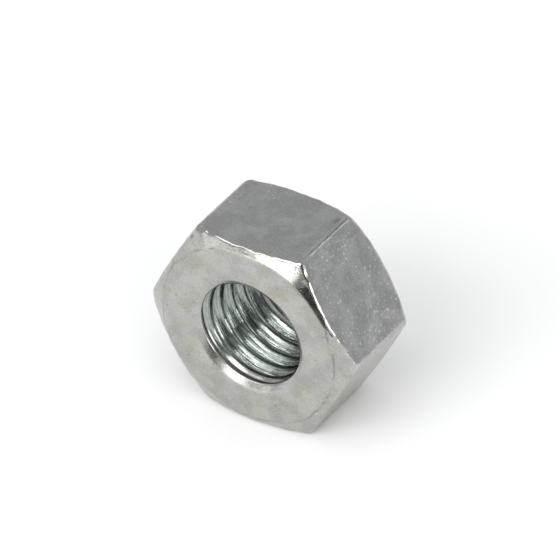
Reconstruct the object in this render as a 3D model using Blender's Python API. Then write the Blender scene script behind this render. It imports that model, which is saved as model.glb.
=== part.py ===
"""Hex nut, M12 x 1.75, the plain full-height form with both ends chamfered.

Units are metres, +Z up. The nut stands on one of its six flats with the bore level: the front bearing
face looks along -Y, and the origin is the centre of the flat that it stands on. It is one forged and
tapped piece, so the model is one object: a six-sided blank, turned at both ends, then tapped and
countersunk. The shapes are made along the bore, from the rear face at height 0 to the front face at
HEIGHT, and an empty then stands them up.
"""

import math

import bmesh
import bpy

# Driving dimensions of the nut
THREAD_DIAMETER = 0.012
PITCH = 0.00175
ACROSS_FLATS = 0.019
HEIGHT = 0.010
BEARING_FACE_DIAMETER = 0.017
CHAMFER_ANGLE = math.radians(25)
CORNER_RADIUS = 0.0011  # rounding along each of the six edges between flats
COUNTERSINK_DIAMETER = 0.0124
COUNTERSINK_SLOPE = math.radians(30)  # from the bearing face, for an included angle of 120 degrees
THREAD_HEIGHT_AT_X = 0.0008  # rear edge of a crest where the helix passes the +X side of the bore

# The ISO metric thread form: a triangle of 60 degrees, cut off at both tips
SHARP_THREAD_HEIGHT = PITCH * math.sqrt(3) / 2
THREAD_DEPTH = SHARP_THREAD_HEIGHT * 5 / 8
CREST_WIDTH = PITCH / 4
ROOT_WIDTH = PITCH / 8
FLANK_WIDTH = (PITCH - CREST_WIDTH - ROOT_WIDTH) / 2

# How finely the round shapes are divided
CORNERS = 6
SIDES_PER_TURN = 72
CORNER_SEGMENTS = 4
SMOOTH_ANGLE = math.radians(20)

OVERRUN = 0.0015  # how far a cutter or the blank runs past the shape that trims it
MERGE_DISTANCE = 1e-7


def clear_scene():
    for obj in list(bpy.data.objects):
        bpy.data.objects.remove(obj)


def bore_axis():
    """An empty that stands the nut on one flat: its Z axis is the bore, from the rear face to the front."""
    axis = bpy.data.objects.new("bore_axis", None)
    axis.location = (0, HEIGHT / 2, ACROSS_FLATS / 2)
    axis.rotation_euler = (math.radians(90), 0, 0)
    bpy.context.scene.collection.objects.link(axis)
    return axis


def object_from(name, bm, axis):
    """A smooth-shaded object that takes over the bmesh, with its faces turned outwards."""
    bmesh.ops.recalc_face_normals(bm, faces=bm.faces[:])
    mesh = bpy.data.meshes.new(name)
    bm.to_mesh(mesh)
    bm.free()
    mesh.shade_smooth()
    mesh.set_sharp_from_angle(angle=SMOOTH_ANGLE)
    obj = bpy.data.objects.new(name, mesh)
    obj.parent = axis
    bpy.context.scene.collection.objects.link(obj)
    return obj


def turned_solid(name, profile, axis):
    """A solid of revolution about the bore, from (radius, height) points. Flat ends are closed by one face.

    It starts half a side round, so that none of its edges lies along an edge of the tap.
    """
    turn = math.pi / SIDES_PER_TURN
    bm = bmesh.new()
    points = [
        bm.verts.new((radius * math.cos(turn), radius * math.sin(turn), height))
        for radius, height in profile
    ]
    lines = [bm.edges.new(pair) for pair in zip(points, points[1:])]
    bmesh.ops.spin(
        bm,
        geom=points + lines,
        cent=(0, 0, 0),
        axis=(0, 0, 1),
        angle=math.tau,
        steps=SIDES_PER_TURN,
        use_merge=True,
    )
    bmesh.ops.remove_doubles(bm, verts=bm.verts[:], dist=MERGE_DISTANCE)
    bmesh.ops.holes_fill(bm, edges=bm.edges[:], sides=0)
    return object_from(name, bm, axis)


def hex_blank(axis):
    """A six-sided bar with rounded long edges, a little longer than the nut."""
    corner_distance = ACROSS_FLATS / math.sqrt(3)
    bm = bmesh.new()
    outline = [
        bm.verts.new((
            corner_distance * math.cos(math.tau * corner / CORNERS),
            corner_distance * math.sin(math.tau * corner / CORNERS),
            -OVERRUN,
        ))
        for corner in range(CORNERS)
    ]
    foot = bm.faces.new(outline)
    raised = bmesh.ops.extrude_face_region(bm, geom=[foot])["geom"]
    raised_points = [item for item in raised if isinstance(item, bmesh.types.BMVert)]
    bmesh.ops.translate(bm, verts=raised_points, vec=(0, 0, HEIGHT + 2 * OVERRUN))
    long_edges = [edge for edge in bm.edges if edge.verts[0].co.z != edge.verts[1].co.z]
    bmesh.ops.bevel(
        bm,
        geom=long_edges,
        offset=CORNER_RADIUS * math.tan(math.pi / CORNERS),
        segments=CORNER_SEGMENTS,
        profile=0.5,
        affect="EDGES",
    )
    return object_from("hex_nut", bm, axis)


def turned_ends(axis):
    """The round envelope that trims the bar to height and chamfers its corners at both ends."""
    face_radius = BEARING_FACE_DIAMETER / 2
    outer_radius = ACROSS_FLATS / math.sqrt(3) + OVERRUN
    drop = (outer_radius - face_radius) * math.tan(CHAMFER_ANGLE)
    profile = (
        (face_radius, 0),
        (outer_radius, drop),
        (outer_radius, HEIGHT - drop),
        (face_radius, HEIGHT),
    )
    return turned_solid("turned_ends_cutter", profile, axis)


def countersink(name, face_height, inwards, axis):
    """A cone that opens one mouth of the bore. inwards is +1 at the rear face and -1 at the front."""
    slope = math.tan(COUNTERSINK_SLOPE)
    radius = COUNTERSINK_DIAMETER / 2
    profile = (
        (radius + OVERRUN / slope, face_height - inwards * OVERRUN),
        (0, face_height + inwards * radius * slope),
    )
    return turned_solid(name, profile, axis)


def thread_form():
    """One pitch of the threaded wall, as (radius, height above the crest's rear edge)."""
    major_radius = THREAD_DIAMETER / 2
    minor_radius = major_radius - THREAD_DEPTH
    return (
        (minor_radius, 0),
        (minor_radius, CREST_WIDTH),
        (major_radius, CREST_WIDTH + FLANK_WIDTH),
        (major_radius, CREST_WIDTH + FLANK_WIDTH + ROOT_WIDTH),
    )


def thread_column(bm, side, foot, turns):
    """The points along one side of the tap, from a crest's rear edge at the height foot."""
    angle = math.tau * side / SIDES_PER_TURN
    rise = foot + PITCH * side / SIDES_PER_TURN
    return [
        bm.verts.new((radius * math.cos(angle), radius * math.sin(angle), rise + turn * PITCH + height))
        for turn in range(turns)
        for radius, height in thread_form()
    ]


def tap(axis):
    """A right-hand threaded bar that cuts the bore, with one column of points for each side of a turn.

    After a full turn the helix meets the first column again one pitch higher. So the first column
    ends the list too, without the points of its lowest pitch.
    """
    points_per_pitch = len(thread_form())
    foot = THREAD_HEIGHT_AT_X - math.ceil((THREAD_HEIGHT_AT_X + OVERRUN) / PITCH) * PITCH - PITCH
    turns = math.ceil((HEIGHT + OVERRUN - foot) / PITCH) + 1
    bm = bmesh.new()
    columns = [thread_column(bm, side, foot, turns) for side in range(SIDES_PER_TURN)]
    columns.append(columns[0][points_per_pitch:])
    for column, following in zip(columns, columns[1:]):
        for k in range(len(following) - 1):
            bm.faces.new((column[k], following[k], following[k + 1], column[k + 1]))
    rear_rim = [column[0] for column in columns] + columns[0][points_per_pitch - 1 : 0 : -1]
    front_rim = [column[-1] for column in columns[:-1]] + columns[-2][-2 : -2 - points_per_pitch : -1]
    close_end(bm, rear_rim, foot - OVERRUN)
    close_end(bm, front_rim, foot + (turns + 1) * PITCH + OVERRUN)
    return object_from("tap_cutter", bm, axis)


def close_end(bm, rim, tip_height):
    """Closes an end of the tap with a fan from its rim, a turn of the helix and its step, to the axis."""
    tip = bm.verts.new((0, 0, tip_height))
    for first, second in zip(rim, rim[1:] + rim[:1]):
        bm.faces.new((first, second, tip))


def zinc_plate():
    material = bpy.data.materials.new("zinc_plated_steel")
    material.use_nodes = True
    shader = material.node_tree.nodes["Principled BSDF"]
    shader.inputs["Base Color"].default_value = (0.62, 0.63, 0.61, 1)
    shader.inputs["Metallic"].default_value = 1.0
    shader.inputs["Roughness"].default_value = 0.34
    return material


def trim(obj, cutter, operation):
    """Adds a Boolean to obj. The cutter stays in the file as a hidden wire guide."""
    cutter.hide_render = True
    cutter.display_type = "WIRE"
    boolean = obj.modifiers.new(cutter.name, "BOOLEAN")
    boolean.operation = operation
    boolean.solver = "EXACT"
    boolean.object = cutter


def hex_nut():
    axis = bore_axis()
    nut = hex_blank(axis)
    trim(nut, turned_ends(axis), "INTERSECT")
    trim(nut, tap(axis), "DIFFERENCE")
    trim(nut, countersink("rear_countersink_cutter", 0, 1, axis), "DIFFERENCE")
    trim(nut, countersink("front_countersink_cutter", HEIGHT, -1, axis), "DIFFERENCE")
    nut.data.materials.append(zinc_plate())
    return nut


clear_scene()
hex_nut()
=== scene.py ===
"""The looks of the hex nut: a finely modelled nut in bright zinc plate on a pale studio floor.

The nut stands on one flat with its bore along Y, front face towards -Y. Most of the code works in the
nut's own cylinder coordinates: angle round the bore (0 towards +X, a quarter turn towards +Z), radius,
and height along the bore, which is 0 halfway between the bearing faces and positive to the front.
"""

import math

import bpy
import numpy as np
from mathutils import Matrix, Vector, noise


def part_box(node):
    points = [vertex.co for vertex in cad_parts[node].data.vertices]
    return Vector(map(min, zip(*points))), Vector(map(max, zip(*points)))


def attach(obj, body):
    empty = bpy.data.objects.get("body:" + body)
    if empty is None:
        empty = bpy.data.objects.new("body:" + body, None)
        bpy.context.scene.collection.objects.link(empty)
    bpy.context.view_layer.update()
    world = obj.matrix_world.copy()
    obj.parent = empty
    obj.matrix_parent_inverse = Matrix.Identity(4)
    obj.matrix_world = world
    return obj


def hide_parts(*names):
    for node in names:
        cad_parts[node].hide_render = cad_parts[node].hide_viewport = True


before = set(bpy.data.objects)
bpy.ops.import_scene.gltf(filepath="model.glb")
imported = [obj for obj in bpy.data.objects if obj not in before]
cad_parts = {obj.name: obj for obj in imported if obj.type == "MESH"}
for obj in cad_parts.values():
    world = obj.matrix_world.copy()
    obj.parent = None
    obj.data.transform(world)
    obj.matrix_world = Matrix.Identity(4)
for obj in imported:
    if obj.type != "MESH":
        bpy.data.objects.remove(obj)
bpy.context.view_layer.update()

# Sizes of the nut, from the frame
LOW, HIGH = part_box("hex_nut")
ACROSS_FLATS = HIGH.z - LOW.z
HALF_HEIGHT = (HIGH.y - LOW.y) / 2
BORE_CENTRE = Vector(((LOW.x + HIGH.x) / 2, (LOW.y + HIGH.y) / 2, (LOW.z + HIGH.z) / 2))

# Thread form, right-handed
PITCH = 0.00175
MAJOR_RADIUS = 0.006
THREAD_DEPTH = PITCH * math.sqrt(3) / 2 * 5 / 8
MINOR_RADIUS = MAJOR_RADIUS - THREAD_DEPTH
CREST_WIDTH = 0.2 * PITCH
THREAD_PHASE = 0.00002 - HALF_HEIGHT  # height of a crest's rear edge on the +X side of the bore
FRONT_FLANK_ANGLE = math.radians(37)  # worn and plated over on the side that faces the front
REAR_FLANK_ANGLE = math.radians(32)
CREST_ROUNDING = 0.0003
ROOT_ROUNDING = 0.0004

# The two mouths of the bore. Depths here and below are measured from the bearing face
MOUTH_RADIUS = 0.00595
MOUTH_ANGLE = math.radians(30)
MOUTH_ROUNDING = 0.0013
MOUTH_SHIFT = (0.0001, math.radians(235))  # how far the countersinks are off centre, and towards what angle
MOUTH_BLEND = 0.0003
RUN_OUT = (0.00475, 0.7)  # the thread's outer radius where it meets each face, and its growth with depth
RUN_OUT_BLEND = 0.0003

# Outline and ends
CORNERS = 6
SECTOR = math.tau / CORNERS
CORNER_RADII = (0.0008, 0.00045, 0.001, 0.0011, 0.001, 0.001)  # from +X, anticlockwise seen from the front
FACE_RADIUS = 0.00885
FACE_DENT = (0.00025, math.radians(86), math.radians(20))  # how deep, at what angle and how wide
CHAMFER_SLOPE = math.tan(math.radians(27))
FACE_EDGE_ROUNDING = 0.0011
SHOULDER_ROUNDING = 0.00054
SHOULDER_ROUNDING_AT_CORNERS = 0.0003  # added to it near the corners
SHOULDER_CORNER_ANGLES = (0.24, 0.06)  # angles from a corner where that begins and is complete
ROLLED_EDGE = (0.00016, 0.0016)  # how far the flat falls away beside one long edge, and over what width
ROLLED_EDGE_START = 0.0005  # the width over which it starts to fall

# Unevenness of the forged and plated surface, as a height and a length
FORGED_WAVES = (0.00001, 0.0013)
FACE_WAVES = (0.000006, 0.0022)
SHOULDER_WAVES = (0.00003, 0.001)
ROLLED_EDGE_WAVES = (0.000192, 0.0011)
ROUNDING_WAVES = (0.5, 0.0009)  # this one as a share of the rounding and a length
BEADS = (0.00002, 0.0004)
BEAD_LEVEL = 0.1  # taken off the beads' waves, so that they are more hollow than proud
BEADS_AT_REAR = 0.4  # against 1 at the front
BEADS_ON_LONG_EDGES = 2.5  # against 1 on the shoulders
LONG_EDGE_ANGLES = (0.05, 0.012)  # angles from a corner where those beads begin and are complete

# Lines that the tap left in the thread
TAP_LINES = (0.00003, 2.4, 0.5)  # a height, a count round one pitch's circle and a change along the thread
TAP_LINE_DEPTHS = (0.0002, 0.0006)  # where they begin and are complete
FINE_LINES = (22.0, 1.2)  # the material's own lines: a count across one pitch, and a change round the bore

# Colours of the plating, and of the glints painted on its light specks
ZINC = (0.43, 0.434, 0.428, 1)
OLIVE = (0.435, 0.428, 0.375, 1)
DIRT = (0.22, 0.2, 0.15, 1)
# Painted highlight: the colour of the glints on the light specks
GLINT_PAINT_COLOUR = (0.8, 0.8, 0.78, 1)
BORE_ZINC = (0.375, 0.415, 0.39, 1)

# Pattern sizes and places in the plating
CLOUD_SIZE = 0.0018
GRAIN_SIZE = 0.0002
STAIN_SIZE = 0.0016
PIT_SIZE = 0.0004
TONE_OF_CLOUDS = (0.9, 1.09)  # from a dark cloud to a light one
TONE_OF_GRAIN = (-0.07, 0.07)  # added to it
TONE_OF_LINES = 0.35  # taken off in the tap's lines
LIGHT_SPECK_SPACING = 0.0003
LIGHT_SPECK_CROWDS = 0.0045
LIGHT_SPECK_SIDE = (0.0045, 0.0065)  # X between which the light specks become many
# How strongly the light specks' painted glints show in the colour
PAINTED_GLINT_STRENGTH = 0.7
DARK_SPECK_SPACING = 0.0009
DARK_SPECK_STRENGTH = 0.7
UNSTAINED_HEIGHTS = (0.0075, 0.0095)  # Z between which the flats lose their stains
BORE_FINISH_DEPTHS = (0.0008, 0.0018)  # where the bore's own finish begins and is complete
FACE_ARC_RADIUS = FACE_RADIUS + 0.0005
FACE_ARC_WANDER = (0.0008, 0.002)  # a height and a length
FACE_ARC_HALF_WIDTHS = (0.00016, 0.00002)  # where the dirt begins and where it is complete
FACE_ARC_DEPTHS = (0.0008, 0.0005)  # likewise
FACE_ARC_BREAKS = 0.0009  # length of the stretches that the ring is broken into
FACE_ARC_STRENGTH = 0.65
SATIN = (0.2, 0.28)  # roughness of the plate, from one cloud to the next
POLISH = 0.12  # less roughness in the bore and on the chamfers
BUMP_STRENGTH = 0.4
BUMP_HEIGHT = 0.00001
GRAIN_HEIGHT = 0.5  # these three as shares of the bump's height
PIT_HEIGHT = 0.6
LINE_HEIGHT = 1.2

# Camera: angles in degrees, and distances from the bore's centre in widths across flats
VIEW_AZIMUTH = 35.14
VIEW_ELEVATION = 36.9
VIEW_ROLL = -2.82
VIEW_DISTANCE = 49.508
VIEW_ASIDE = 0.00508
VIEW_ABOVE = 0.12277
LENS_MM = 690.5
SENSOR_MM = 36
CLIP_END = 10

# Stage
FLOOR_HALF_WIDTH = 3.0
FLOOR_COLOUR = 0.9
CARD_COLOUR = 0.08
CARD_LIFT = 0.0004
MATT = 0.9
STUDIO_COLOUR = (0.62, 0.625, 0.63, 1)

# Name, azimuth, elevation and distance of each softbox, its width and height in degrees, and its radiance
OVERHEAD_SOFTBOX = ("overhead", 5, 62, 1.0, 74, 74, 0.76)
SOFTBOXES_IN_GLOSS = (
    ("key", 1, 41, 0.5, 32, 18, 4.2),
    ("window left", -12, 13, 0.5, 20, 18, 2.6),
    ("window right", 1, 17, 0.5, 10, 10, 2.6),
    ("low", -36, 5, 0.5, 26, 14, 0.8),
    ("high", -33, 34, 0.5, 28, 18, 2.0),
    ("right", 65, 16, 0.5, 28, 24, 3.6),
    ("edge", 146, 34, 0.5, 14, 14, 1.0),
)

# How finely the mesh is divided
FLAT_COLUMNS = 80
CORNER_COLUMNS = 12
COLUMNS_PER_BORE_COLUMN = 2
FACE_ROWS = 12
FACE_EDGE_ROWS = 8
CHAMFER_ROWS = 9
SHOULDER_ROWS = 8
FLAT_ROWS = 14
FIRST_CHAMFER_ROW = 1 + FACE_ROWS + FACE_EDGE_ROWS
FIRST_SHOULDER_ROW = FIRST_CHAMFER_ROW + CHAMFER_ROWS
FIRST_FLAT_ROW = FIRST_SHOULDER_ROW + SHOULDER_ROWS
MOUTH_DEPTHS = np.array((0.004, 0.016, 0.036, 0.064, 0.1, 0.15, 0.21, 0.28, 0.36)) / 1000
THREAD_TOP = HALF_HEIGHT - MOUTH_DEPTHS[-1]
ROWS_PER_PITCH = 24
ROW_STEP = PITCH / ROWS_PER_PITCH


def corner_inset(radius):
    """Distance from the bore's axis to the flats, less a corner's radius."""
    return ACROSS_FLATS / 2 - radius


def column_angles():
    """The angle of every column, evenly along each flat and each rounded corner."""
    angles = []
    for k, radius in enumerate(CORNER_RADII):
        following = CORNER_RADII[(k + 1) % CORNERS]
        middle = SECTOR * (k + 0.5)
        start = -corner_inset(radius) * math.tan(SECTOR / 2)
        end = corner_inset(following) * math.tan(SECTOR / 2)
        for along in np.linspace(start, end, FLAT_COLUMNS, endpoint=False):
            angles.append(middle + math.atan2(along, ACROSS_FLATS / 2))
        for share in np.linspace(-1, 1, CORNER_COLUMNS, endpoint=False):
            lean = share * SECTOR / 2
            across = following * math.sin(lean)
            out = corner_inset(following) / math.cos(SECTOR / 2) + following * math.cos(lean)
            angles.append(middle + SECTOR / 2 + math.atan2(across, out))
    return np.sort(np.mod(angles, math.tau))


def from_corner(angle):
    """Angle to the nearest corner of the hexagon."""
    return np.mod(angle + SECTOR / 2, SECTOR) - SECTOR / 2


def outline_radius(angle):
    """Distance from the bore's axis to the six-sided outline with rounded corners."""
    radius = np.array(CORNER_RADII)[np.rint(angle / SECTOR).astype(int) % CORNERS]
    turn = from_corner(angle)
    from_middle = SECTOR / 2 - np.abs(turn)
    flat = ACROSS_FLATS / 2 / np.cos(from_middle)
    centre = corner_inset(radius) / math.cos(SECTOR / 2)
    rounded = centre * np.cos(turn) + np.sqrt(np.maximum(radius**2 - (centre * np.sin(turn)) ** 2, 0))
    tangent = np.arctan(corner_inset(radius) * math.tan(SECTOR / 2) / (ACROSS_FLATS / 2))
    return np.where(from_middle > tangent, rounded, flat)


def smooth_max(a, b, width):
    """The larger of two values, rounded over where they are closer than the width."""
    blend = np.maximum(width - np.abs(a - b), 0) / width
    return np.maximum(a, b) + blend * blend * width / 4


def smooth_step(low, high, value):
    """0 at low and 1 at high, with an even S between them. High may be the smaller."""
    share = np.clip((value - low) / (high - low), 0, 1)
    return share * share * (3 - 2 * share)


def wave(points, size):
    """Smooth random values between about -1 and 1 at an array of points."""
    flat = points.reshape(-1, 3) / size
    return np.array([noise.noise(Vector(point)) for point in flat.tolist()]).reshape(points.shape[:-1])


def uneven(points, waves):
    """Smooth random heights at an array of points, from a pair of height and length."""
    height, length = waves
    return height * wave(points, length)


def thread_turn(angle, height):
    """How far across one thread a point lies, from 0 at a crest's rear edge to 1 at the next."""
    return np.mod((height - THREAD_PHASE) / PITCH - angle / math.tau, 1)


def thread_radius(angle, height):
    """Radius of the threaded wall: crests rounder at the front edge than at the rear, and rounded roots."""
    across = thread_turn(angle, height) * PITCH
    front = (across - CREST_WIDTH) / math.tan(FRONT_FLANK_ANGLE)
    front = smooth_max(front, np.zeros_like(across), CREST_ROUNDING)
    rear = (PITCH - across) / math.tan(REAR_FLANK_ANGLE)
    depth = -smooth_max(-front, -rear, ROOT_ROUNDING)
    return MINOR_RADIUS - smooth_max(-depth, np.full_like(depth, -THREAD_DEPTH), ROOT_ROUNDING)


def mouth_radius(depth, angle):
    """Radius of the countersink at a depth below its bearing face: a cone whose lip rolls into the face."""
    shift = MOUTH_SHIFT[0] * np.cos(angle - MOUTH_SHIFT[1])
    tangent = MOUTH_ROUNDING * math.tan(MOUTH_ANGLE / 2)
    lip = MOUTH_RADIUS + tangent
    drop = tangent * math.sin(MOUTH_ANGLE)
    rise = MOUTH_ROUNDING - np.minimum(depth, drop)
    rolled = lip - np.sqrt(np.maximum(MOUTH_ROUNDING**2 - rise**2, 0))
    return shift + np.where(depth < drop, rolled, MOUTH_RADIUS - depth / math.tan(MOUTH_ANGLE))


def tap_line_height(angle, height):
    """Height of the tap's lines, which follow the thread and change slowly along it."""
    rise, count, change = TAP_LINES
    turn = math.tau * thread_turn(angle, height)
    along = (height / PITCH + np.cos(angle)) * change
    ring = np.stack([np.cos(turn) * count, np.sin(turn) * count, along], -1)
    return rise * wave(ring, 1)


def bore_radius(angle, height):
    """Radius of the bore's wall: the thread, with a countersink at each end and the tap's lines."""
    depth = HALF_HEIGHT - np.abs(height)
    start, growth = RUN_OUT
    tapped = -smooth_max(-thread_radius(angle, height), -start - growth * depth, RUN_OUT_BLEND)
    wall = smooth_max(tapped, mouth_radius(depth, angle), MOUTH_BLEND)
    return wall + tap_line_height(angle, height) * smooth_step(*TAP_LINE_DEPTHS, depth)


def bore_share(depth):
    """How much of the thread's own colour and gloss a point at this depth has."""
    return smooth_step(*BORE_FINISH_DEPTHS, depth)


def fillet(before, corner, after, radius, count):
    """Points of an arc that rounds a polyline's corner. Arrays hold one (radius, height) per column."""
    inward = before - corner
    outward = after - corner
    inward /= np.linalg.norm(inward, axis=-1, keepdims=True)
    outward /= np.linalg.norm(outward, axis=-1, keepdims=True)
    half = np.arccos(np.clip((inward * outward).sum(-1, keepdims=True), -1, 1)) / 2
    bisector = inward + outward
    bisector /= np.linalg.norm(bisector, axis=-1, keepdims=True)
    centre = corner + bisector * radius / np.sin(half)
    start = corner + inward * radius / np.tan(half) - centre
    turn = -(np.pi - 2 * half)
    points = []
    for share in np.linspace(0, 1, count):
        cos = np.cos(turn * share)
        sin = np.sin(turn * share)
        x = start[..., :1]
        y = start[..., 1:]
        points.append(centre + np.concatenate([x * cos - y * sin, x * sin + y * cos], -1))
    return points


def between(start, end, count):
    """Points spread evenly from start, left out, to end, left out."""
    return [start + (end - start) * share for share in np.linspace(0, 1, count + 2)[1:-1]]


def place(radius, height, angle):
    """World positions of points given in the nut's cylinder coordinates."""
    return np.stack([radius * np.cos(angle), -height, radius * np.sin(angle)], -1) + np.array(BORE_CENTRE)


def beside_edge(angles):
    """How strongly each column belongs to the strip that falls away beside one long edge."""
    beside = (angles - SECTOR) * ACROSS_FLATS / 2 / math.cos(SECTOR / 2)
    near = np.clip(1 - beside / ROLLED_EDGE[1], 0, 1)
    return (near * smooth_step(0, ROLLED_EDGE_START, beside)) ** 2


def face_edge_radius(angles):
    """Radius of the bearing face, with the shallow dent in its edge."""
    depth, where, width = FACE_DENT
    return FACE_RADIUS - depth * np.exp(-(((angles - where) / width) ** 2))


def shoulder_rounding(rim, angles):
    """Radius of the fillet between chamfer and flat, larger at the corners and uneven all round."""
    near_corner = smooth_step(*SHOULDER_CORNER_ANGLES, np.abs(from_corner(angles)))
    rounding = SHOULDER_ROUNDING + SHOULDER_ROUNDING_AT_CORNERS * near_corner
    return rounding * (1 + uneven(rim, ROUNDING_WAVES))


def end_profile(angles, side):
    """Rings of (radius, height) from one mouth's lip over the outside to halfway down the flats.

    side is 1 for the front and -1 for the rear.
    """
    ones = np.ones_like(angles)
    outline = outline_radius(angles) - ROLLED_EDGE[0] * beside_edge(angles)
    rim = place(outline, side * HALF_HEIGHT * ones, angles)
    face_radius = face_edge_radius(angles)
    rise = (outline - face_radius) * CHAMFER_SLOPE + uneven(rim, SHOULDER_WAVES)
    lip = np.stack([mouth_radius(np.array(0.0), angles), HALF_HEIGHT * ones], -1)
    face_edge = np.stack([face_radius, HALF_HEIGHT * ones], -1)
    shoulder = np.stack([outline, HALF_HEIGHT - rise], -1)
    middle = np.stack([outline, 0 * ones], -1)
    rounding = shoulder_rounding(rim, angles)[:, None]
    soft_edge = fillet(lip, face_edge, shoulder, FACE_EDGE_ROUNDING, FACE_EDGE_ROWS)
    soft_shoulder = fillet(face_edge, shoulder, middle, rounding, SHOULDER_ROWS)
    rings = [lip] + between(lip, soft_edge[0], FACE_ROWS) + soft_edge
    rings += between(soft_edge[-1], soft_shoulder[0], CHAMFER_ROWS) + soft_shoulder
    rings += between(soft_shoulder[-1], middle, FLAT_ROWS) + [middle]
    return np.array(rings) * np.array([1, side])


def on_worn_edge(row, angles, on_flat):
    """How strongly each point belongs to the shoulder or a long edge, where the plating is beaded."""
    off_shoulder = (row - (FIRST_SHOULDER_ROW + SHOULDER_ROWS / 2)) / (SHOULDER_ROWS / 2)
    on_long_edge = on_flat * smooth_step(*LONG_EDGE_ANGLES, np.abs(from_corner(angles)))
    return np.maximum(np.exp(-(off_shoulder**2)), BEADS_ON_LONG_EDGES * on_long_edge)


def surface_lift(points, row, angles, on_flat, side):
    """How far out of the ideal surface each point of one end lies."""
    outside = smooth_step(FIRST_CHAMFER_ROW - FACE_EDGE_ROWS, FIRST_CHAMFER_ROW + 2, row)
    lift = uneven(points, FACE_WAVES) * (1 - outside) + uneven(points, FORGED_WAVES) * outside
    lift += uneven(points, ROLLED_EDGE_WAVES) * beside_edge(angles) * on_flat
    strength = 1 if side > 0 else BEADS_AT_REAR
    beads = BEADS[0] * strength * (wave(points, BEADS[1]) - BEAD_LEVEL)
    return lift + beads * on_worn_edge(row, angles, on_flat)


def roughened(rings, angles, side):
    """One end's rings, moved along their normals by the unevenness, with chamfer and flat masks."""
    points = place(rings[..., 0], rings[..., 1], np.broadcast_to(angles, rings.shape[:2]))
    along = np.gradient(rings, axis=0)
    along /= np.linalg.norm(along, axis=-1, keepdims=True)
    normal = np.stack([-along[..., 1], along[..., 0]], -1) * side
    row = np.arange(len(rings))[:, None]
    on_flat = smooth_step(FIRST_SHOULDER_ROW, FIRST_FLAT_ROW, row)
    past_face = smooth_step(FIRST_CHAMFER_ROW - FACE_EDGE_ROWS / 2, FIRST_CHAMFER_ROW + 1, row)
    # Level at the lip and halfway down the flats, where other rings are joined on
    fade = smooth_step(len(rings) - 1, len(rings) - 3, row) * smooth_step(0, 3, row)
    lift = surface_lift(points, row, angles, on_flat, side) * fade
    every_column = np.ones(len(angles))
    on_chamfer = (past_face - on_flat) * every_column
    return rings + normal * lift[..., None], on_chamfer, on_flat * every_column


class Skin:
    """Points in cylinder coordinates with their material masks, and the faces between them."""

    def __init__(self):
        self.points = []
        self.masks = []
        self.faces = []
        self.count = 0

    def add(self, radius, height, angle, bore=0, chamfer=0, flat=0):
        """Adds points and returns their numbers."""
        values = np.broadcast_arrays(radius, height, angle, bore, chamfer, flat)
        table = np.stack(values, -1).reshape(-1, len(values))
        self.points.append(table[:, :3])
        self.masks.append(table[:, 3:])
        numbers = np.arange(self.count, self.count + len(table))
        self.count += len(table)
        return numbers

    def face(self, *loop):
        """Adds one face without its repeated corners, or nothing if fewer than three are left."""
        corners = tuple(v for v, w in zip(loop, loop[1:] + loop[:1]) if v != w)
        if len(corners) > 2:
            self.faces.append(corners)

    def join(self, lower, upper):
        """A band of faces between two rings of equal or halved column count."""
        count = len(lower)
        if len(upper) == count:
            for j in range(count):
                k = (j + 1) % count
                self.face(lower[j], lower[k], upper[k], upper[j])
            return
        coarse, fine, flip = (lower, upper, 1) if count < len(upper) else (upper, lower, -1)
        for j in range(len(coarse)):
            k = (j + 1) % len(coarse)
            near, middle, far = fine[2 * j], fine[2 * j + 1], fine[(2 * j + 2) % len(fine)]
            fan = ((coarse[j], middle, near), (coarse[j], coarse[k], middle), (coarse[k], far, middle))
            self.faces += [corners[::flip] for corners in fan]

    def join_all(self, rings):
        """A band of faces between each ring and the next."""
        for lower, upper in zip(rings, rings[1:]):
            self.join(lower, upper)


def add_end(skin, angles, side):
    """Adds one end's rings, from the mouth's lip to halfway down the flats, and returns their numbers."""
    numbers = []
    for ring, chamfer, flat in zip(*roughened(end_profile(angles, side), angles, side)):
        numbers.append(skin.add(*ring.T, angles, chamfer=chamfer, flat=flat))
    return numbers


def add_mouth(skin, angles, side):
    """Adds one countersink's rings, from the shallowest down, and returns their numbers."""
    numbers = []
    for depth in MOUTH_DEPTHS:
        height = np.full(len(angles), side * (HALF_HEIGHT - depth))
        numbers.append(skin.add(bore_radius(angles, height), height, angles, bore=bore_share(depth)))
    return numbers


def add_thread_column(skin, angle, rows, lower, upper):
    """Adds a column of points that follows the thread and returns their numbers.

    Rows that pass the lower or the upper point, or come within a quarter of a step of it, become it.
    """
    heights = THREAD_PHASE + ROW_STEP * rows + PITCH * angle / math.tau
    radii = bore_radius(np.full(len(rows), angle), heights)
    numbers = skin.add(radii, heights, angle, bore=bore_share(HALF_HEIGHT - np.abs(heights)))
    numbers = np.where(heights <= -THREAD_TOP + ROW_STEP / 4, lower, numbers)
    return np.where(heights >= THREAD_TOP - ROW_STEP / 4, upper, numbers)


def add_thread(skin, angles, lower_ring, upper_ring):
    """Fills the bore between two level rings with rows that follow the thread."""
    first = math.floor((-THREAD_TOP - THREAD_PHASE) / ROW_STEP) - ROWS_PER_PITCH
    last = math.ceil((THREAD_TOP - THREAD_PHASE) / ROW_STEP)
    rows = np.arange(first, last + 1)
    columns = []
    for angle, lower, upper in zip(angles, lower_ring, upper_ring):
        columns.append(add_thread_column(skin, angle, rows, lower, upper))
    # The first column again, one pitch on, closes the round
    columns.append(np.append(columns[0][ROWS_PER_PITCH:], np.full(ROWS_PER_PITCH, upper_ring[0])))
    for one, two in zip(columns, columns[1:]):
        for row in range(len(rows) - 1):
            skin.face(one[row], two[row], two[row + 1], one[row + 1])


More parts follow.
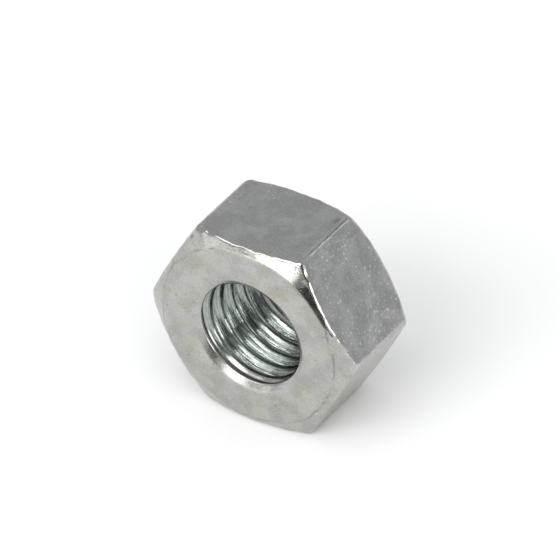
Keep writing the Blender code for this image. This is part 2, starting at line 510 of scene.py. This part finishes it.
def nut_skin():
    """The whole surface: both ends, joined halfway down the flats, both mouths and the thread between."""
    angles = column_angles()
    bore_angles = angles[::COLUMNS_PER_BORE_COLUMN]
    skin = Skin()
    front = add_end(skin, angles, 1)
    rear = add_end(skin, angles, -1)
    skin.join_all(front + rear[-2::-1])
    front_mouth = add_mouth(skin, bore_angles, 1)
    rear_mouth = add_mouth(skin, bore_angles, -1)
    skin.join_all([rear[0]] + rear_mouth)
    skin.join_all(front_mouth[::-1] + [front[0]])
    add_thread(skin, bore_angles, rear_mouth[-1], front_mouth[-1])
    return skin


def nut_mesh():
    """The skin as a mesh of its used points, with each mask as an attribute."""
    skin = nut_skin()
    used, corners = np.unique(np.concatenate(skin.faces), return_inverse=True)
    ends = np.cumsum([len(face) for face in skin.faces])
    # The height runs against Y, which mirrors the skin, so each face's corners are reversed
    faces = [face[::-1].tolist() for face in np.split(corners, ends[:-1])]
    radius, height, angle = np.concatenate(skin.points)[used].T
    mesh = bpy.data.meshes.new("zinc_plated_nut")
    mesh.from_pydata(place(radius, height, angle).tolist(), [], faces)
    for name, values in zip(("bore", "chamfer", "flat"), np.concatenate(skin.masks)[used].T):
        mesh.attributes.new(name, "FLOAT", "POINT").data.foreach_set("value", values.astype(np.float32))
    mesh.shade_smooth()
    return mesh


def nut_object():
    """The nut as one object that stands in for the frame's own."""
    mesh = nut_mesh()
    mesh.materials.append(zinc())
    nut = bpy.data.objects.new("zinc_plated_nut", mesh)
    bpy.context.scene.collection.objects.link(nut)
    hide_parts("hex_nut")
    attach(nut, "root")


class Graph:
    """A material's node tree, with short ways to add the nodes used here."""

    def __init__(self, material):
        material.use_nodes = True
        self.tree = material.node_tree
        self.shader = self.tree.nodes["Principled BSDF"]
        self.here = self.add("TexCoord").outputs["Object"]
        self.axis = self.add("SeparateXYZ", {"Vector": self.here}).outputs
        self.rise = self.math("SUBTRACT", self.axis["Z"], BORE_CENTRE.z)

    def add(self, kind, inputs=None, **settings):
        node = self.tree.nodes.new("ShaderNode" + kind)
        for name, value in settings.items():
            setattr(node, name, value)
        for name, value in (inputs or {}).items():
            self.set(node.inputs[name], value)
        return node

    def set(self, socket, value):
        if isinstance(value, bpy.types.NodeSocket):
            self.tree.links.new(value, socket)
        else:
            socket.default_value = value

    def math(self, operation, *values):
        node = self.add("Math", operation=operation)
        for socket, value in zip(node.inputs, values):
            self.set(socket, value)
        return node.outputs[0]

    def plus(self, one, two):
        return self.math("ADD", one, two)

    def minus(self, one, two):
        return self.math("SUBTRACT", one, two)

    def times(self, one, two):
        return self.math("MULTIPLY", one, two)

    def mask(self, name):
        """One of the masks that the mesh carries."""
        return self.add("Attribute", attribute_name=name).outputs["Fac"]

    def noise(self, size, detail=2.0, roughness=0.5, position=None):
        """Smooth noise between 0 and 1, placed on the object unless another position is given."""
        values = {"Vector": position or self.here, "Scale": 1 / size}
        values |= {"Detail": detail, "Roughness": roughness}
        return self.add("TexNoise", values).outputs["Fac"]

    def cells(self, spacing):
        """Distance from the nearest of many scattered points, and that point's own random colour."""
        cells = self.add("TexVoronoi", {"Vector": self.here, "Scale": 1 / spacing}).outputs
        return cells["Distance"], self.add("SeparateColor", {"Color": cells["Color"]}).outputs

    def step(self, value, low, high, to_low=0.0, to_high=1.0):
        """An even S from one result to the other while the value goes from low to high."""
        values = {"Value": value, "From Min": low, "From Max": high}
        values |= {"To Min": to_low, "To Max": to_high}
        return self.add("MapRange", values, interpolation_type="SMOOTHSTEP").outputs["Result"]

    def mix(self, share, one, two):
        node = self.add("Mix", data_type="RGBA")
        self.set(node.inputs[0], share)
        self.set(node.inputs[6], one)
        self.set(node.inputs[7], two)
        return node.outputs[2]


def zinc():
    """Bright zinc plate: mottled, stained here and there, with painted glints on its light specks, and
    glossier in the thread.
    """
    material = bpy.data.materials.new("bright_zinc")
    graph = Graph(material)
    clouds = graph.noise(CLOUD_SIZE, detail=4, roughness=0.6)
    grain = graph.noise(GRAIN_SIZE, detail=2, roughness=0.6)
    # Light specks on the flats: raised grains in the bump, and painted highlights in the colour
    specks = graph.times(speck_bumps_and_painted_glints(graph), graph.mask("flat"))
    lines = graph.times(tap_lines(graph), graph.mask("bore"))
    values = {0: zinc_colour(graph, specks), "Scale": zinc_tone(graph, clouds, grain, lines)}
    toned = graph.add("VectorMath", values, operation="SCALE").outputs[0]
    graph.set(graph.shader.inputs["Base Color"], toned)
    graph.shader.inputs["Metallic"].default_value = 1.0
    graph.set(graph.shader.inputs["Roughness"], zinc_roughness(graph, clouds))
    graph.set(graph.shader.inputs["Normal"], zinc_bump(graph, grain, specks, lines))
    return material


def zinc_colour(graph, specks):
    """Zinc with olive stains, dirt at the face's edge, painted glints on the light specks, dark specks, and
    a cooler bore.
    """
    clean = graph.times(graph.mask("flat"), graph.step(graph.axis["Z"], *UNSTAINED_HEIGHTS))
    blotches = graph.noise(STAIN_SIZE, detail=5, roughness=0.7)
    stain = graph.step(blotches, 0.4, 0.65, to_low=0.1, to_high=1)
    colour = graph.mix(graph.times(stain, graph.minus(1.0, clean)), ZINC, OLIVE)
    colour = graph.mix(graph.times(face_arc(graph), FACE_ARC_STRENGTH), colour, DIRT)
    # Painted highlight: the light specks' glints are mixed into the colour
    colour = graph.mix(graph.times(specks, PAINTED_GLINT_STRENGTH), colour, GLINT_PAINT_COLOUR)
    dark = graph.math("MAXIMUM", graph.minus(dark_specks(graph), graph.mask("flat")), 0.0)
    colour = graph.mix(graph.times(dark, DARK_SPECK_STRENGTH), colour, DIRT)
    return graph.mix(graph.mask("bore"), colour, BORE_ZINC)


def zinc_tone(graph, clouds, grain, lines):
    """How light the colour is from place to place, where 1 leaves it as it is."""
    mottle = graph.step(clouds, 0.36, 0.64, *TONE_OF_CLOUDS)
    fine = graph.step(grain, 0.35, 0.65, *TONE_OF_GRAIN)
    return graph.minus(graph.plus(mottle, fine), graph.times(lines, TONE_OF_LINES))


def zinc_roughness(graph, clouds):
    """Satin on the faces and flats, smoother in the bore and on the chamfers."""
    satin = graph.step(clouds, 0.3, 0.7, *SATIN)
    smooth = graph.math("MAXIMUM", graph.mask("bore"), graph.mask("chamfer"))
    return graph.minus(satin, graph.times(smooth, POLISH))


def zinc_bump(graph, grain, specks, lines):
    """Grain, pits, specks and tap lines too fine for the mesh."""
    pits = graph.step(graph.noise(PIT_SIZE, detail=2), 0.3, 0.42)
    relief = graph.plus(graph.times(grain, GRAIN_HEIGHT), graph.times(pits, PIT_HEIGHT))
    relief = graph.plus(graph.plus(relief, specks), graph.times(lines, LINE_HEIGHT))
    bump = graph.add("Bump", {"Strength": BUMP_STRENGTH, "Distance": BUMP_HEIGHT, "Height": relief})
    return bump.outputs["Normal"]


def face_arc(graph):
    """Dirt where the turned bearing face ends: a thin, broken ring with a wandering radius."""
    wander, length = FACE_ARC_WANDER
    squares = graph.plus(graph.math("POWER", graph.axis["X"], 2.0), graph.times(graph.rise, graph.rise))
    radius = graph.plus(graph.math("SQRT", squares), graph.times(graph.noise(length, detail=2), wander))
    off = graph.math("ABSOLUTE", graph.minus(radius, FACE_ARC_RADIUS))
    ring = graph.step(off, *FACE_ARC_HALF_WIDTHS)
    from_middle = graph.math("ABSOLUTE", graph.axis["Y"])
    end = graph.step(from_middle, *(HALF_HEIGHT - depth for depth in FACE_ARC_DEPTHS))
    broken = graph.step(graph.noise(FACE_ARC_BREAKS, detail=3, roughness=0.7), 0.4, 0.6)
    return graph.times(graph.times(ring, end), broken)


def tap_lines(graph):
    """Fine grooves that the tap left along the thread."""
    count, change = FINE_LINES
    angle = graph.math("ARCTAN2", graph.rise, graph.axis["X"])
    turns = graph.plus(graph.math("DIVIDE", graph.axis["Y"], PITCH), graph.math("DIVIDE", angle, math.tau))
    across = graph.times(graph.math("FRACT", turns), count)
    values = {"X": across, "Y": graph.times(angle, change), "Z": graph.math("COSINE", angle)}
    position = graph.add("CombineXYZ", values).outputs[0]
    return graph.step(graph.noise(1, detail=3, roughness=0.6, position=position), 0.42, 0.58)


def speck_bumps_and_painted_glints(graph):
    """Small raised grains of zinc with painted glints, thick in some places and few in others."""
    distance, random = graph.cells(LIGHT_SPECK_SPACING)
    grain = graph.step(distance, 0.5, 0.2)
    # A speck shows where its random number is over a limit, which is lower in the crowds and towards +X
    limit = graph.step(graph.noise(LIGHT_SPECK_CROWDS, detail=1), 0.35, 0.65, to_low=0.95, to_high=0.55)
    limit = graph.minus(limit, graph.step(graph.axis["X"], *LIGHT_SPECK_SIDE, to_low=-0.3, to_high=0.3))
    chosen = graph.math("GREATER_THAN", random["Red"], limit)
    strength = graph.math("POWER", random["Green"], 1.5)
    return graph.times(grain, graph.times(chosen, strength))


def dark_specks(graph):
    """A few tiny dark pits."""
    distance, random = graph.cells(DARK_SPECK_SPACING)
    grain = graph.step(distance, 0.14, 0.07)
    return graph.times(grain, graph.math("GREATER_THAN", random["Red"], 0.6))


def direction(azimuth, elevation):
    """Unit vector towards an azimuth, where 0 is the front (-Y) and 90 is +X, and an elevation."""
    azimuth = math.radians(azimuth)
    elevation = math.radians(elevation)
    level = math.cos(elevation)
    return Vector((math.sin(azimuth) * level, -math.cos(azimuth) * level, math.sin(elevation)))


def camera():
    """A long lens, so far away that the nut is seen almost without perspective."""
    roll = math.radians(VIEW_ROLL)
    back = direction(VIEW_AZIMUTH, VIEW_ELEVATION)
    level = direction(VIEW_AZIMUTH + 90, 0)
    right = level * math.cos(roll) + back.cross(level) * math.sin(roll)
    up = back.cross(right)
    data = bpy.data.cameras.new("camera")
    data.sensor_width = SENSOR_MM
    data.lens = LENS_MM
    data.clip_end = CLIP_END
    view = bpy.data.objects.new("camera", data)
    offset = back * VIEW_DISTANCE + right * VIEW_ASIDE + up * VIEW_ABOVE
    turn = Matrix((right, up, back)).transposed()
    view.matrix_world = Matrix.Translation(BORE_CENTRE + offset * ACROSS_FLATS) @ turn.to_4x4()
    bpy.context.scene.collection.objects.link(view)
    bpy.context.scene.camera = view


def plain_sheet(name, corners, colour):
    """A four-cornered stage piece in one matt grey."""
    mesh = bpy.data.meshes.new(name)
    mesh.from_pydata(corners, [], [(0, 1, 2, 3)])
    material = bpy.data.materials.new(name)
    material.use_nodes = True
    shader = material.node_tree.nodes["Principled BSDF"]
    shader.inputs["Base Color"].default_value = (colour, colour, colour, 1)
    shader.inputs["Roughness"].default_value = MATT
    mesh.materials.append(material)
    sheet = bpy.data.objects.new(name, mesh)
    bpy.context.scene.collection.objects.link(sheet)
    return sheet


def standing_card(azimuth, elevation, distance, half_width, half_height):
    """Corners of a card facing the bore's centre, with its half sizes in degrees as seen from there."""
    back = direction(azimuth, elevation)
    aside = Vector((0, 0, 1)).cross(back).normalized() * distance * math.tan(math.radians(half_width))
    over = back.cross(aside).normalized() * distance * math.tan(math.radians(half_height))
    middle = BORE_CENTRE + back * distance
    return [middle + aside + over, middle + aside - over, middle - aside - over, middle - aside + over]


def lying_card(first, last, near, far):
    """Corners of a card just above the floor, between two azimuths and two distances from the origin."""
    left = direction(first, 0)
    right = direction(last, 0)
    lifted = Vector((0, 0, CARD_LIFT))
    return [left * near + lifted, left * far + lifted, right * far + lifted, right * near + lifted]


def stage():
    """The floor, and dark cards that only gloss sees, which give the metal its dark reflections."""
    half = FLOOR_HALF_WIDTH
    floor = [(-half, -half, 0), (half, -half, 0), (half, half, 0), (-half, half, 0)]
    plain_sheet("floor", floor, FLOOR_COLOUR)
    # Azimuth, elevation, distance and half sizes of each standing card, and the limits of the lying one
    cards = {
        "black_card_low": standing_card(17.5, 2, 0.12, 17.5, 6.5),
        "black_card_camera": standing_card(34, 26, 0.4, 9, 16),
        "black_card_behind": standing_card(191, 46, 0.5, 9, 7),
        "black_card_lying": lying_card(1, 35, 0.052, 0.12),
    }
    for name, corners in cards.items():
        card = plain_sheet(name, corners, CARD_COLOUR)
        card.visible_camera = False
        card.visible_diffuse = False
        card.visible_shadow = False


def softbox(name, azimuth, elevation, distance, width, height, radiance):
    """A rectangular light aimed at the nut, sized in degrees as the nut sees it."""
    back = direction(azimuth, elevation)
    data = bpy.data.lights.new(name, "AREA")
    data.shape = "RECTANGLE"
    data.size = 2 * distance * math.tan(math.radians(width / 2))
    data.size_y = 2 * distance * math.tan(math.radians(height / 2))
    data.energy = radiance * math.pi * data.size * data.size_y
    light = bpy.data.objects.new(name, data)
    light.location = BORE_CENTRE + back * distance
    light.rotation_mode = "QUATERNION"
    light.rotation_quaternion = (-back).to_track_quat("-Z", "Y")
    bpy.context.scene.collection.objects.link(light)
    return light


def lights():
    """Even light all round, a broad soft light from above, and smaller boxes that the metal mirrors."""
    world = bpy.data.worlds.new("studio")
    bpy.context.scene.world = world
    world.use_nodes = True
    world.node_tree.nodes["Background"].inputs["Color"].default_value = STUDIO_COLOUR
    softbox(*OVERHEAD_SOFTBOX).visible_glossy = False
    for sizes in SOFTBOXES_IN_GLOSS:
        softbox(*sizes)
    bpy.context.scene.view_settings.view_transform = "Standard"


nut_object()
stage()
camera()
lights()

bpy.context.view_layer.update()
